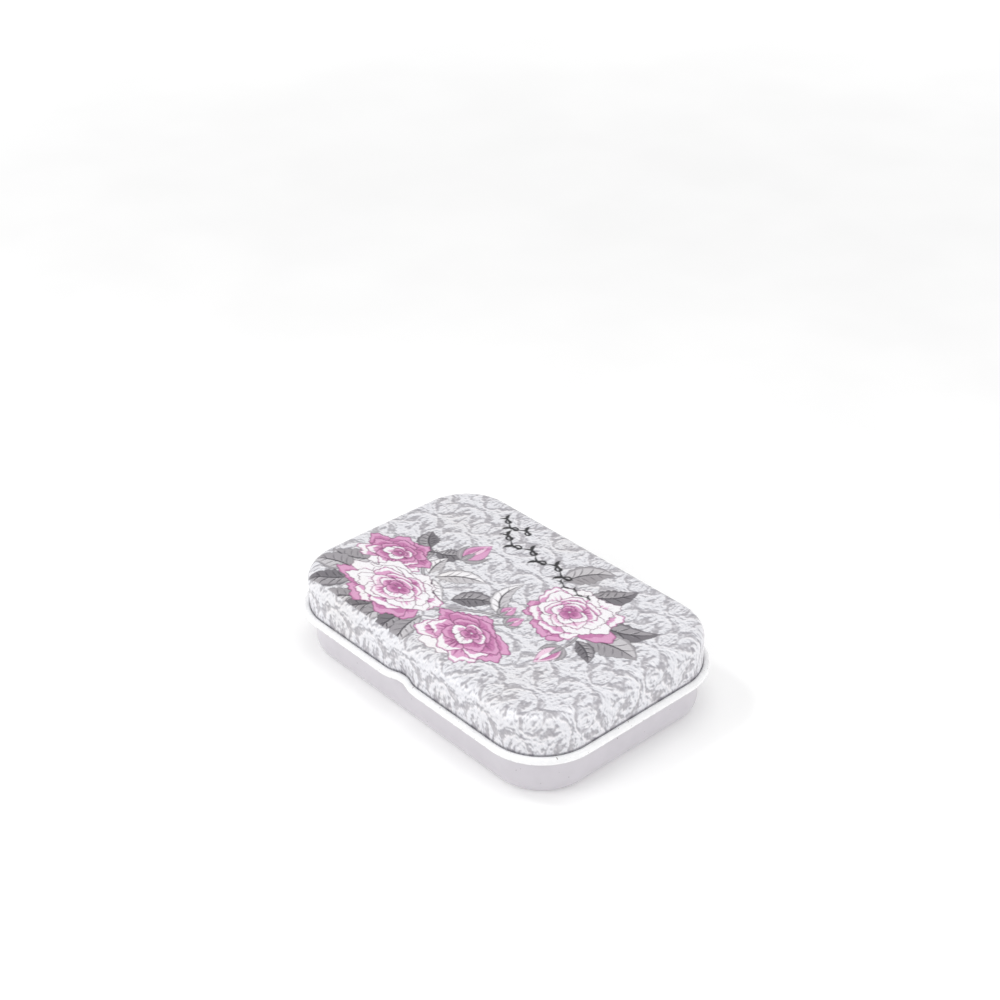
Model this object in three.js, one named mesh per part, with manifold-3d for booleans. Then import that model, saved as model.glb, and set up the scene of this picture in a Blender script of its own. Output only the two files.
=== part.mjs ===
// A hinged pocket tin of drawn tinplate: a printed lid that overhangs a plain tray.
// The lid's lower edge is curled outwards into a hollow bead. At the back, two lugs welded to the tray come
// out through slots in the lid's skirt and wrap round that bead, which is the hinge pin.
// Millimetres, +X along the long side, -Y to the front, +Z up, origin on the floor under the middle.

import * as THREE from "three";
import { ParametricGeometry } from "three/addons/geometries/ParametricGeometry.js";
import { mergeVertices } from "three/addons/utils/BufferGeometryUtils.js";
import Module from "manifold-3d";

const wasm = await Module();
wasm.setup();

// ---- driving dimensions ----

const sheet = 0.25;

const skirtLength = 91.74;
const skirtWidth = 60.15;
const skirtCornerRadius = 13.9;
const lidTop = 21.5;
const shoulderRadius = 2.9;

const beadRadius = 0.945;
const beadHeight = 11.05;
const creaseGap = 0.12;

const trayInset = 1.06;
const trayEdgeRadius = 2.5;
const rimTop = 15.9;
const rimRadius = 0.4;
const rimGap = 0.06;

const dentCentre = -1;
const dentDepth = 1.2;
const dentSpread = 3.2;
const dentSharpness = 2.5;
const dentReach = 2.25 * dentSpread;
const lidDentFull = 12.5;
const lidDentGone = lidTop - shoulderRadius;
const trayDentFull = 11;
const trayDentGone = 6.5;

const lugWidth = 8;
const lugSpacing = 44;
const lugClearance = 0.055;
const lugBend = 0.275;
const lugWrap = THREE.MathUtils.degToRad(240);
const weldGap = 0.02;

const slotSideClearance = 0.35;
const slotBottom = 0.2;
const slotTop = 1.5;

// ---- how finely the curved faces are cut ----

const cornerSteps = 8;
const dentSteps = 12;
const edgeArcSteps = 5;
const beadSteps = 10;
const rimSteps = 8;

// ---- worked out from the above ----

const beadOffset = beadRadius - sheet;
const hingeAxisY = skirtWidth / 2 + beadOffset;
const rimOffset = rimRadius - sheet;
const trayBackY = skirtWidth / 2 - trayInset;

// ---- the plan outline, shared by lid and tray ----

// How far the front face is pressed back at x, before it fades with height.
function dentAt(x) {
  const t = Math.abs(x - dentCentre) / dentSpread;
  return dentDepth * Math.exp(-(t ** dentSharpness));
}

// The stations of the skirt's outer face, anticlockwise from above, each with its outward normal.
function planStations() {
  const stations = [];
  const centreX = skirtLength / 2 - skirtCornerRadius;
  const centreY = skirtWidth / 2 - skirtCornerRadius;
  const corners = [
    [centreX, -centreY, -90],
    [centreX, centreY, 0],
    [-centreX, centreY, 90],
    [-centreX, -centreY, 180],
  ];
  for (const [x, y, start] of corners) {
    for (let i = 0; i <= cornerSteps; i++) {
      const angle = THREE.MathUtils.degToRad(start + (90 * i) / cornerSteps);
      const normal = new THREE.Vector2(Math.cos(angle), Math.sin(angle));
      stations.push({ point: new THREE.Vector2(x, y).addScaledVector(normal, skirtCornerRadius), normal });
    }
  }
  for (let i = 0; i <= dentSteps; i++) {
    const x = dentCentre + THREE.MathUtils.lerp(-dentReach, dentReach, i / dentSteps);
    stations.push({ point: new THREE.Vector2(x, -skirtWidth / 2), normal: new THREE.Vector2(0, -1) });
  }
  return stations;
}

// ---- a stamping: one closed section carried round the plan ----

// The section is a list of (offset outwards from the skirt's outer face, height). It starts and ends on the
// flat of the stamping, and those two ends are joined to the middle of the plan.
function stamping(section, dentShare) {
  const stations = planStations();
  const rows = section.length + 1;
  const surface = (u, v, target) => {
    const row = Math.round(v * rows);
    const station = stations[Math.round(u * stations.length) % stations.length];
    const end = section[row === 0 ? 0 : section.length - 1];
    if (row === 0 || row === rows) {
      target.set(0, 0, end.y);
      return;
    }
    const { x: offset, y: height } = section[row - 1];
    const flat = station.point.clone().addScaledVector(station.normal, offset);
    const pressed = flat.y < 0 ? dentAt(flat.x) * dentShare(height) * Math.max(0, -station.normal.y) : 0;
    target.set(flat.x, flat.y + pressed, height);
  };
  return new ParametricGeometry(surface, stations.length, rows);
}

// The points of an arc in the section, both ends included.
function arc(centreX, centreZ, radius, startAngle, endAngle, steps) {
  const curve = new THREE.EllipseCurve(
    centreX, centreZ, radius, radius, startAngle, endAngle, endAngle < startAngle,
  );
  return curve.getPoints(steps);
}

function point(offset, height) {
  return new THREE.Vector2(offset, height);
}

// ---- solids for the cuts ----

function toSolid(geometry) {
  const bare = geometry.clone();
  bare.deleteAttribute("normal");
  bare.deleteAttribute("uv");
  const merged = mergeVertices(bare);
  const index = merged.index.array;
  const kept = [];
  for (let i = 0; i < index.length; i += 3) {
    const [a, b, c] = index.slice(i, i + 3);
    if (a !== b && b !== c && c !== a) kept.push(a, b, c);
  }
  return new wasm.Manifold(
    new wasm.Mesh({
      numProp: 3,
      vertProperties: merged.attributes.position.array,
      triVerts: new Uint32Array(kept),
    }),
  );
}

function toGeometry(solid) {
  const { vertProperties, triVerts } = solid.getMesh();
  const geometry = new THREE.BufferGeometry();
  geometry.setAttribute("position", new THREE.BufferAttribute(vertProperties, 3));
  geometry.setIndex(new THREE.BufferAttribute(triVerts, 1));
  return geometry;
}

function namedMesh(name, geometry, color, roughness, metalness) {
  const mesh = new THREE.Mesh(geometry, new THREE.MeshStandardMaterial({ color, roughness, metalness }));
  mesh.name = name;
  return mesh;
}

// ---- the lid ----

function lidSection() {
  const shoulderCentre = lidTop - shoulderRadius;
  const middleOfFade = (lidDentFull + lidDentGone) / 2;
  const curlEnd = Math.acos((creaseGap - beadOffset) / beadRadius);
  const quarter = Math.PI / 2;
  return [
    ...arc(-shoulderRadius, shoulderCentre, shoulderRadius - sheet, quarter, 0, edgeArcSteps),
    point(-sheet, middleOfFade),
    point(-sheet, lidDentFull),
    ...arc(beadOffset, beadHeight, beadRadius, Math.PI, 2 * Math.PI + curlEnd, beadSteps),
    ...arc(beadOffset, beadHeight, beadOffset, 2 * Math.PI + curlEnd, Math.PI, beadSteps),
    point(0, lidDentFull),
    point(0, middleOfFade),
    ...arc(-shoulderRadius, shoulderCentre, shoulderRadius, 0, quarter, edgeArcSteps),
  ];
}

function lidDentShare(height) {
  return 1 - THREE.MathUtils.smoothstep(height, lidDentFull, lidDentGone);
}

function hingeSlot(x) {
  const depth = 3 * sheet;
  const outside = skirtWidth / 2 + creaseGap / 2;
  const box = new THREE.BoxGeometry(lugWidth + 2 * slotSideClearance, depth, slotTop - slotBottom);
  box.translate(x, outside - depth / 2, beadHeight + (slotTop + slotBottom) / 2);
  return toSolid(box);
}

function makeLid() {
  let solid = toSolid(stamping(lidSection(), lidDentShare));
  for (const side of [-1, 1]) solid = solid.subtract(hingeSlot((side * lugSpacing) / 2));
  return namedMesh("lid", toGeometry(solid), 0xdedae4, 0.35, 0.1);
}

// ---- the tray ----

function traySection() {
  const quarter = Math.PI / 2;
  const rimHeight = rimTop - rimRadius;
  const middleOfFade = (trayDentGone + trayDentFull) / 2;
  const curlEnd = -Math.acos((rimGap - rimOffset) / rimRadius);
  const section = [
    ...arc(-trayEdgeRadius, trayEdgeRadius, trayEdgeRadius, -quarter, 0, edgeArcSteps),
    point(0, trayDentGone),
    point(0, middleOfFade),
    point(0, trayDentFull),
    ...arc(rimOffset, rimHeight, rimOffset, Math.PI, curlEnd, rimSteps),
    ...arc(rimOffset, rimHeight, rimRadius, curlEnd, Math.PI, rimSteps),
    point(-sheet, trayDentFull),
    point(-sheet, middleOfFade),
    point(-sheet, trayDentGone),
    ...arc(-trayEdgeRadius, trayEdgeRadius, trayEdgeRadius - sheet, 0, -quarter, edgeArcSteps),
  ];
  return section.map(({ x, y }) => point(x - trayInset, y));
}

function trayDentShare(height) {
  return THREE.MathUtils.smoothstep(height, trayDentGone, trayDentFull);
}

function makeTray() {
  const solid = toSolid(stamping(traySection(), trayDentShare));
  return namedMesh("base_tray", toGeometry(solid), 0xc9c7d0, 0.35, 0.1);
}

// ---- the hinge lugs ----

// The lug seen from the end of the hinge, with the hinge axis at (0, 0): down the tray's wall, out over the
// bead, and round it.
function lugOutline() {
  const inner = beadRadius + lugClearance;
  const outer = inner + sheet;
  const wallSide = trayBackY + weldGap - hingeAxisY;
  const freeSide = wallSide + sheet;
  const bendX = freeSide + lugBend;
  const bendZ = outer + lugBend;
  const top = rimTop - 2 * rimRadius - 2 * sheet - beadHeight;
  const quarter = Math.PI / 2;
  return new THREE.Shape([
    point(freeSide, top),
    ...arc(bendX, bendZ, lugBend, Math.PI, 3 * quarter, edgeArcSteps),
    ...arc(0, 0, outer, quarter, quarter - lugWrap, beadSteps),
    ...arc(0, 0, inner, quarter - lugWrap, quarter, beadSteps),
    ...arc(bendX, bendZ, lugBend + sheet, 3 * quarter, Math.PI, edgeArcSteps),
    point(wallSide, top),
  ]);
}

function makeLug(name, x) {
  const geometry = new THREE.ExtrudeGeometry(lugOutline(), { depth: lugWidth, bevelEnabled: false });
  geometry.translate(0, 0, -lugWidth / 2);
  const outlineToWorld = new THREE.Matrix4().makeBasis(
    new THREE.Vector3(0, 1, 0),
    new THREE.Vector3(0, 0, 1),
    new THREE.Vector3(1, 0, 0),
  );
  geometry.applyMatrix4(outlineToWorld);
  const mesh = namedMesh(name, geometry, 0xc9c7d0, 0.35, 0.1);
  mesh.position.set(x, hingeAxisY, beadHeight);
  return mesh;
}

// ---- the whole tin ----

const base = new THREE.Group();
base.add(
  makeTray(),
  makeLug("hinge_lug_left", -lugSpacing / 2),
  makeLug("hinge_lug_right", lugSpacing / 2),
);

const tin = new THREE.Group();
tin.add(base, makeLid());

export default tin;
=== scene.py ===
"""A hinged pocket tin of printed tinplate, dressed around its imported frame."""
import cmath
import math
import random

import bpy
import numpy
from mathutils import Matrix, Vector
from mathutils.geometry import delaunay_2d_cdt


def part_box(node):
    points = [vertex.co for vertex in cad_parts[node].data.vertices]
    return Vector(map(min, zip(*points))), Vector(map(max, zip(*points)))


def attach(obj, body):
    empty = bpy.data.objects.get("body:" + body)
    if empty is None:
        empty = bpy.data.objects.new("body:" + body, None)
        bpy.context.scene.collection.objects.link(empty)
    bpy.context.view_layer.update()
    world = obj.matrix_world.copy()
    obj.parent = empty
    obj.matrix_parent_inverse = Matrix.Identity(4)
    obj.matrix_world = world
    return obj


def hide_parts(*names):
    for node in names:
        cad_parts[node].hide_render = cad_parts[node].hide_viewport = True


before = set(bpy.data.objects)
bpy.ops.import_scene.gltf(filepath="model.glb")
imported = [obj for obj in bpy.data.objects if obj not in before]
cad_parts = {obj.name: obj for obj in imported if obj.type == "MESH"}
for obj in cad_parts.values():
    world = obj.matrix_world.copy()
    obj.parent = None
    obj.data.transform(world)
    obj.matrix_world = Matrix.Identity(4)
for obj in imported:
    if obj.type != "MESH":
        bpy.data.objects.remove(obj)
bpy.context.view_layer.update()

MM = 0.001
lid_low, lid_high = (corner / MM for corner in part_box("lid"))
lug_boxes = {name: [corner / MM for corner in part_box(name)]
             for name in ("hinge_lug_left", "hinge_lug_right")}

# ---- the tin's own sizes, in millimetres ----

SHEET = 0.25
BEAD_RADIUS = 0.945
BEAD_OFFSET = BEAD_RADIUS - SHEET
CREASE_GAP = 0.05
CORNER_RADIUS = 13.9
SHOULDER_RADIUS = 2.9
TRAY_INSET = 1.06
TRAY_EDGE_RADIUS = 2.5
RIM_RADIUS = 0.4
RIM_GAP = 0.06
DENT_CENTRE, DENT_DEPTH, DENT_SPREAD, DENT_SHARPNESS = -1.0, 1.2, 3.2, 2.5

HALF_LENGTH = lid_high.x - BEAD_OFFSET - BEAD_RADIUS
HALF_WIDTH = -lid_low.y - BEAD_OFFSET - BEAD_RADIUS
LID_TOP = lid_high.z
BEAD_HEIGHT = lid_low.z + BEAD_RADIUS
SHOULDER_BOTTOM = LID_TOP - SHOULDER_RADIUS
RIM_TOP = (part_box("base_tray")[1] / MM).z
HINGE_Y = HALF_WIDTH + BEAD_OFFSET

LUG_WIDTH = 8.0
LUG_SPACING = 44.0
LUG_INNER = 1.0
LUG_WRAP = 240.0
LUG_BEND = 0.275
SLOT_SIDE = 0.35
SLOT_BOTTOM, SLOT_TOP = 0.2, 1.5

CORNER_STEPS = 24
SIDE_STEP, DENTED_SIDE_STEP = 3.0, 0.6


# ---- small maths ----

def clamp01(t):
    return max(0.0, min(1.0, t))


def smoothstep(value, low, high):
    t = clamp01((value - low) / (high - low))
    return t * t * (3 - 2 * t)


def lerp(a, b, t):
    return a + (b - a) * t


def srgb(r, g, b):
    """A linear colour from the 0 to 255 values of a paint chart."""
    def channel(c):
        c /= 255
        return c / 12.92 if c <= 0.04045 else ((c + 0.055) / 1.055) ** 2.4
    return (channel(r), channel(g), channel(b), 1.0)


# ---- the plan outline and the sections of the stampings ----

def dent_at(x):
    return DENT_DEPTH * math.exp(-abs((x - DENT_CENTRE) / DENT_SPREAD) ** DENT_SHARPNESS)


def lid_dent_share(z):
    return 1 - smoothstep(z, 12.5, SHOULDER_BOTTOM)


def tray_dent_share(z):
    return smoothstep(z, 6.5, 11.0)


def plan_stations():
    """The skirt's outer outline, anticlockwise from above: (x, y, normal x, normal y)."""
    centre_x, centre_y = HALF_LENGTH - CORNER_RADIUS, HALF_WIDTH - CORNER_RADIUS
    corners = [(centre_x, -centre_y), (centre_x, centre_y), (-centre_x, centre_y), (-centre_x, -centre_y)]
    sides = [((HALF_LENGTH, -centre_y), (HALF_LENGTH, centre_y), SIDE_STEP),
             ((centre_x, HALF_WIDTH), (-centre_x, HALF_WIDTH), SIDE_STEP),
             ((-HALF_LENGTH, centre_y), (-HALF_LENGTH, -centre_y), SIDE_STEP),
             ((-centre_x, -HALF_WIDTH), (centre_x, -HALF_WIDTH), DENTED_SIDE_STEP)]
    stations = []
    for quarter, ((x, y), (start, end, step)) in enumerate(zip(corners, sides)):
        for i in range(CORNER_STEPS + 1):
            angle = math.radians(90 * quarter - 90 + 90 * i / CORNER_STEPS)
            nx, ny = math.cos(angle), math.sin(angle)
            stations.append((x + CORNER_RADIUS * nx, y + CORNER_RADIUS * ny, nx, ny))
        length = math.dist(start, end)
        nx, ny = (end[1] - start[1]) / length, (start[0] - end[0]) / length
        count = max(1, round(length / step))
        for i in range(1, count):
            stations.append((lerp(start[0], end[0], i / count), lerp(start[1], end[1], i / count), nx, ny))
    return stations


def arc(cx, cz, radius, start, end, steps):
    """Points of an arc in a section, angles in degrees, both ends included."""
    angles = [math.radians(lerp(start, end, i / steps)) for i in range(steps + 1)]
    return [(cx + radius * math.cos(a), cz + radius * math.sin(a)) for a in angles]


def dented(x, y, normal_y, z, share):
    return y + dent_at(x) * share(z) * max(0.0, -normal_y) if y < 0 else y


# ---- meshes ----

def new_piece(name, verts, faces, materials, face_materials=None):
    mesh = bpy.data.meshes.new(name)
    mesh.from_pydata([tuple(c * MM for c in v) for v in verts], [], faces)
    for material in materials:
        mesh.materials.append(material)
    if face_materials:
        mesh.polygons.foreach_set("material_index", face_materials)
    mesh.polygons.foreach_set("use_smooth", [True] * len(mesh.polygons))
    mesh.update()
    piece = bpy.data.objects.new(name, mesh)
    bpy.context.scene.collection.objects.link(piece)
    return piece


def sweep_section(name, section, share, materials, closed, section_materials):
    """Carries a section of (offset, height) round the plan. An open section ends on two flats, which are
    closed by one face each; a closed one makes a ring."""
    stations = plan_stations()
    rows, around = len(section), len(stations)
    verts = []
    for offset, z in section:
        for x, y, nx, ny in stations:
            px, py = x + nx * offset, y + ny * offset
            verts.append((px, dented(px, py, ny, z, share), z))
    faces, face_materials = [], []
    for row in range(rows if closed else rows - 1):
        above = (row + 1) % rows
        for i in range(around):
            j = (i + 1) % around
            faces.append((row * around + i, row * around + j, above * around + j, above * around + i))
            face_materials.append(section_materials[row])
    if not closed:
        faces.append(tuple(range(around - 1, -1, -1)))
        face_materials.append(section_materials[0])
        faces.append(tuple((rows - 1) * around + i for i in range(around)))
        face_materials.append(section_materials[-1])
    return new_piece(name, verts, faces, materials, face_materials)


# ---- the print, drawn flat: closed shapes in millimetres on the blank, each over the ones before it ----

INKS = {
    "ground": srgb(176, 173, 179),
    "lace": srgb(232, 232, 237),
    "lace_line": srgb(140, 137, 146),
    "white": srgb(248, 246, 249),
    "blush": srgb(240, 206, 227),
    "pink": srgb(222, 163, 202),
    "rose": srgb(199, 126, 174),
    "wine": srgb(174, 98, 150),
    "rose_line": srgb(112, 66, 98),
    "leaf_light": srgb(203, 200, 204),
    "leaf": srgb(162, 158, 163),
    "leaf_dark": srgb(120, 116, 122),
    "leaf_line": srgb(68, 65, 72),
    "black": srgb(30, 30, 34),
}
artwork = []


def paint(points, ink):
    artwork.append((points, ink))


def bezier(start, control, end, t):
    return (1 - t) ** 2 * start + 2 * t * (1 - t) * control + t * t * end


def curve_points(start, end, bend, steps):
    """A bow from start to end whose middle is pushed aside by bend times its length."""
    control = (start + end) / 2 + 2 * bend * (end - start) * 1j
    return [bezier(start, control, end, i / steps) for i in range(steps + 1)]


def normals(path):
    found = []
    for i in range(len(path)):
        ahead = path[min(i + 1, len(path) - 1)] - path[max(i - 1, 0)]
        found.append(ahead / max(abs(ahead), 1e-9) * 1j)
    return found


def ribbon(path, half_widths):
    sides = normals(path)
    left = [p + n * w for p, n, w in zip(path, sides, half_widths)]
    right = [p - n * w for p, n, w in zip(path, sides, half_widths)]
    return left + right[::-1]


def stroke(path, widest, ink, tip):
    """A pen line that swells in its middle and narrows to tip of its width at both ends."""
    last = len(path) - 1
    half = [widest / 2 * lerp(tip, 1, math.sin(math.pi * i / last) ** 0.6) for i in range(last + 1)]
    paint(ribbon(path, half), ink)


def blade(start, end, bend, width, lobes=0, grow=0.0, steps=12, fullness=0.85):
    """A leaf-shaped outline, widest before its middle, with rounded lobes along both edges."""
    path = curve_points(start, end, bend, steps)
    along = (path[1] - path[0]) / abs(path[1] - path[0])
    path[0] -= along * grow
    path[-1] += (path[-1] - path[-2]) / abs(path[-1] - path[-2]) * grow
    half = []
    lobe_depth = 0.16
    for i in range(steps + 1):
        t = i / steps
        ripple = 1 + lobe_depth * (abs(math.sin(math.pi * lobes * t)) - 0.6) if lobes else 1
        swell = width / 2 * math.sin(math.pi * t ** fullness)
        half.append(swell * ripple + grow * math.sin(math.pi * t) ** 0.3)
    return ribbon(path, half)


def circle(centre, radius, steps):
    return [centre + cmath.rect(radius, 2 * math.pi * i / steps) for i in range(steps)]


# ---- damask ----

DAMASK_COLUMN = 13.0
DAMASK_ROW = 10.5
DAMASK_ORIGIN = complex(-5.5, 4.5)


def mirrored(shape):
    return [complex(-p.real, p.imag) for p in shape]


def damask_motif():
    """One medallion of the damask: a ribbed bud in a cup, acanthus leaves, a crown and a palmette."""
    shapes = []

    def both(shape, ink="lace"):
        shapes.append((shape, ink))
        shapes.append((mirrored(shape), ink))

    both(blade(complex(1.3, -3.2), complex(5.9, 2.4), -0.2, 2.3, lobes=4, steps=16))
    both(blade(complex(0.9, -3.9), complex(6.0, -5.4), 0.25, 1.9, lobes=4, steps=16))
    both(blade(complex(3.2, 0.2), complex(4.6, 5.6), 0.2, 1.5, lobes=3))
    both(blade(complex(0.5, 4.3), complex(3.9, 8.2), 0.3, 1.5, lobes=3))
    both(blade(complex(0.2, 4.6), complex(1.6, 7.2), 0.15, 0.9))
    shapes.append((blade(complex(0, 4.3), complex(0, 8.9), 0, 1.3), "lace"))
    for tip in (complex(1.7, -8.3), complex(3.2, -6.9)):
        both(blade(complex(0.2, -4.4), tip, 0.1, 1.25))
    shapes.append((blade(complex(0, -4.3), complex(0, -9.3), 0, 1.35), "lace"))
    both(ribbon([complex(4.7, -1.6) + cmath.rect(0.72, math.radians(a)) for a in range(-140, 161, 30)],
                [0.1, 0.17, 0.21, 0.23, 0.24, 0.24, 0.23, 0.22, 0.2, 0.16, 0.1]))
    cup = [cmath.rect(3.45 + 0.16 * math.cos(math.radians(a) * 14), math.radians(a))
           for a in range(-168, -11, 6)]
    cup_inside = [cmath.rect(2.75, math.radians(a)) for a in range(-16, -165, -12)]
    shapes.append((cup + cup_inside, "lace"))
    shapes.append((blade(complex(0, -2.5), complex(0, 3.9), 0, 4.1, fullness=0.9), "lace"))
    for x, bow in ((0.5, -0.1), (1.15, -0.2)):
        both(blade(complex(x * 0.5, -1.9), complex(x * 0.45, 3.0), bow, 0.26, steps=6), "lace_line")
    both(blade(complex(1.9, -2.4), complex(4.9, 1.4), -0.2, 0.3, steps=6), "lace_line")
    both(blade(complex(1.6, -4.1), complex(5.0, -5.1), 0.25, 0.26, steps=6), "lace_line")
    both(blade(complex(1.0, 4.9), complex(3.2, 7.3), 0.3, 0.22, steps=6), "lace_line")
    both(circle(complex(6.5, 6.2), 0.28, 6), "lace")
    both(circle(complex(1.7, 9.9), 0.26, 6), "lace")
    return shapes


def paint_damask(reach, scale):
    motif = [([p * scale for p in shape], ink) for shape, ink in damask_motif()]
    column_step, row_step = DAMASK_COLUMN * scale, DAMASK_ROW * scale
    rows = int(reach.imag / row_step) + 2
    columns = int(reach.real / column_step) + 2
    for row in range(-rows, rows + 1):
        for column in range(-columns, columns + 1):
            across = (column + 0.5 * (row % 2)) * column_step
            centre = DAMASK_ORIGIN + complex(across, row * row_step)
            for shape, ink in motif:
                paint([p + centre for p in shape], ink)


# ---- leaves, stems and flowers ----

def paint_leaf(base, tip, width, bend, tone):
    lobes, veins = 6, 4
    light = {"leaf_light": "white", "leaf": "leaf_light", "leaf_dark": "leaf"}[tone]
    dark = {"leaf_light": "leaf", "leaf": "leaf_dark", "leaf_dark": "leaf_line"}[tone]
    paint(blade(base, tip, bend, width, lobes, grow=0.16, steps=24), "leaf_line")
    paint(blade(base, tip, bend, width, lobes, steps=24), tone)
    path = curve_points(base, tip, bend, 24)
    sides = normals(path)
    side = [path[i] + sides[i] * width * 0.4 * math.sin(math.pi * (i / 24) ** 0.85) for i in range(2, 23)]
    paint(side + path[22:1:-1], light)
    for i in range(veins):
        start = 3 + 15 * i // veins
        end = min(start + 5, 22)
        reach = width * 0.42 * math.sin(math.pi * (end / 24) ** 0.85)
        for sign in (1, -1):
            vein_tip = path[end] + sides[end] * reach * sign
            stroke(curve_points(path[start], vein_tip, -0.12 * sign, 4), 0.34, dark, 0.2)
            root = path[start + 1]
            shine = root * 0.45 + vein_tip * 0.55 + sides[end] * sign * 0.1
            stroke([root, (root + shine) / 2, shine], 0.13, light if sign < 0 else "white", 0.1)
    stroke(path[:23], 0.42, "leaf_line", 0.25)


def paint_stem(start, end, bend, width):
    path = curve_points(start, end, bend, 12)
    last = len(path) - 1
    paint(ribbon(path, [width * 0.5 + 0.13] * (last + 1)), "leaf_line")
    paint(ribbon(path, [width * 0.5] * (last + 1)), "leaf")
    paint(ribbon(path, [width * 0.16] * (last + 1)), "leaf_light")


class Rose:
    """A rose drawn in a unit circle, then stretched, turned and leaned onto the page."""

    def __init__(self, centre, half_size, turn, lean, seed):
        self.centre, self.half_size, self.lean = centre, half_size, lean
        self.turn = cmath.rect(1, math.radians(turn))
        self.chance = random.Random(seed)

    def page(self, z):
        inwards = 1 - min(1.0, abs(z))
        stretched = complex(z.real * self.half_size.real, z.imag * self.half_size.imag)
        return self.centre + self.turn * stretched + self.lean * inwards

    def petal(self, direction, spread, inner, outer, inks, ruffle):
        """One petal: its line, body, spiked shade at the base, bright rim and a few pen lines."""
        line, body, shade, rim = inks
        phase = self.chance.uniform(0, 6.28)
        lobes = self.chance.choice((1.5, 2.0, 2.5))
        lean = self.chance.uniform(-0.25, 0.25)

        def edge(t, share=1.0):
            swell = max(0.0, math.sin(math.pi * t)) ** 0.42
            wave = 1 + ruffle * math.sin(2 * math.pi * lobes * t + phase)
            wave += ruffle * 0.45 * math.sin(2 * math.pi * 3.3 * lobes * t + 2 * phase)
            reach = inner + (outer - inner) * swell * wave * share
            return cmath.rect(reach, direction + spread * (t - 0.5) + lean * reach)

        def foot(t):
            return cmath.rect(inner * 0.55, direction + spread * 0.8 * (t - 0.5))

        def outlined(grow):
            outside = [edge(i / 30) for i in range(31)]
            around = [self.page(z) for z in outside]
            sides = normals(around)
            grown = [p - n * grow for p, n in zip(around, sides)]
            return grown + [self.page(foot(1 - i / 3)) for i in range(4)]

        paint(outlined(0.17), line)
        paint(outlined(0.0), body)
        spikes = []
        count = 15
        deepest = self.chance.uniform(0.2, 0.8)
        for i in range(count + 1):
            t = lerp(0.04, 0.96, i / count)
            depth = 1.1 - 1.0 * abs(t - deepest)
            share = depth * (self.chance.uniform(0.6, 0.86) if i % 2 else self.chance.uniform(0.22, 0.5))
            spikes.append(self.page(edge(t, share)))
        paint(spikes + [self.page(foot(1 - i / 3)) for i in range(4)], shade)
        start, end = self.chance.uniform(0.05, 0.2), self.chance.uniform(0.75, 0.95)
        ts = [lerp(start, end, i / 12) for i in range(13)]
        width = self.chance.uniform(0.16, 0.3)
        rim_inside = [edge(t, 0.95 - width * math.sin(math.pi * i / 12) ** 0.8) for i, t in enumerate(ts)]
        paint([self.page(edge(t, 0.96)) for t in ts] + [self.page(z) for z in rim_inside[::-1]], rim)
        for _ in range(3):
            t = self.chance.uniform(0.25, 0.75)
            reach = self.chance.uniform(0.45, 0.85)
            path = [self.page(edge(t + 0.02 * k, 0.12 + reach * k / 4)) for k in range(5)]
            stroke(path, 0.16, line if self.chance.random() < 0.4 else shade, 0.15)

    def ring(self, count, inner, outer, spread, inks_of, first, ruffle=0.05):
        jitter = 0.12
        order = list(range(count))
        self.chance.shuffle(order)
        for i in order:
            place = i + self.chance.uniform(-jitter, jitter)
            direction = math.radians(first) + 2 * math.pi * place / count
            size = outer * self.chance.uniform(0.93, 1.05)
            self.petal(direction, math.radians(spread), inner, size, inks_of(math.sin(direction)), ruffle)


LIGHT = ("rose_line", "blush", "rose", "white")
SOFT = ("rose_line", "pink", "wine", "white")
DEEP = ("rose_line", "rose", "wine", "pink")
PALE = ("rose_line", "white", "pink", "white")


def paint_light_rose(centre, half_size, turn, lean, seed):
    """Pale petals above and deep ones below, round a cupped white and pink heart."""
    rose = Rose(centre, half_size, turn, lean, seed)
    rose.ring(8, 0.35, 1.02, 66, lambda up: DEEP if up < -0.1 else SOFT if up < 0.4 else PALE, 20, 0.1)
    rose.ring(7, 0.3, 0.84, 72, lambda up: SOFT if up < -0.3 else PALE, 45, 0.09)
    rose.ring(6, 0.25, 0.67, 84, lambda up: PALE if up < 0.3 else SOFT, 10, 0.08)
    rose.ring(5, 0.2, 0.52, 96, lambda up: LIGHT if up < 0 else SOFT, 40, 0.07)
    rose.ring(4, 0.12, 0.38, 112, lambda up: PALE if up < 0 else SOFT, 5, 0.06)
    rose.ring(3, 0.05, 0.24, 130, lambda up: DEEP, 15)


def paint_deep_rose(centre, half_size, turn, lean, seed):
    """Deep pink petals with pale edges, and a few white folds across the heart."""
    rose = Rose(centre, half_size, turn, lean, seed)
    rose.ring(7, 0.35, 1.02, 74, lambda up: PALE if up < -0.85 else SOFT if up < -0.4 else DEEP, 0, 0.12)
    rose.ring(6, 0.28, 0.8, 82, lambda up: DEEP if up > -0.4 else SOFT, 30, 0.1)
    rose.ring(4, 0.2, 0.58, 100, lambda up: DEEP, 60, 0.08)
    rose.ring(4, 0.12, 0.4, 104, lambda up: PALE if up < 0 else SOFT, 20, 0.06)
    rose.ring(3, 0.05, 0.22, 130, lambda up: DEEP, 15)


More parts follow.
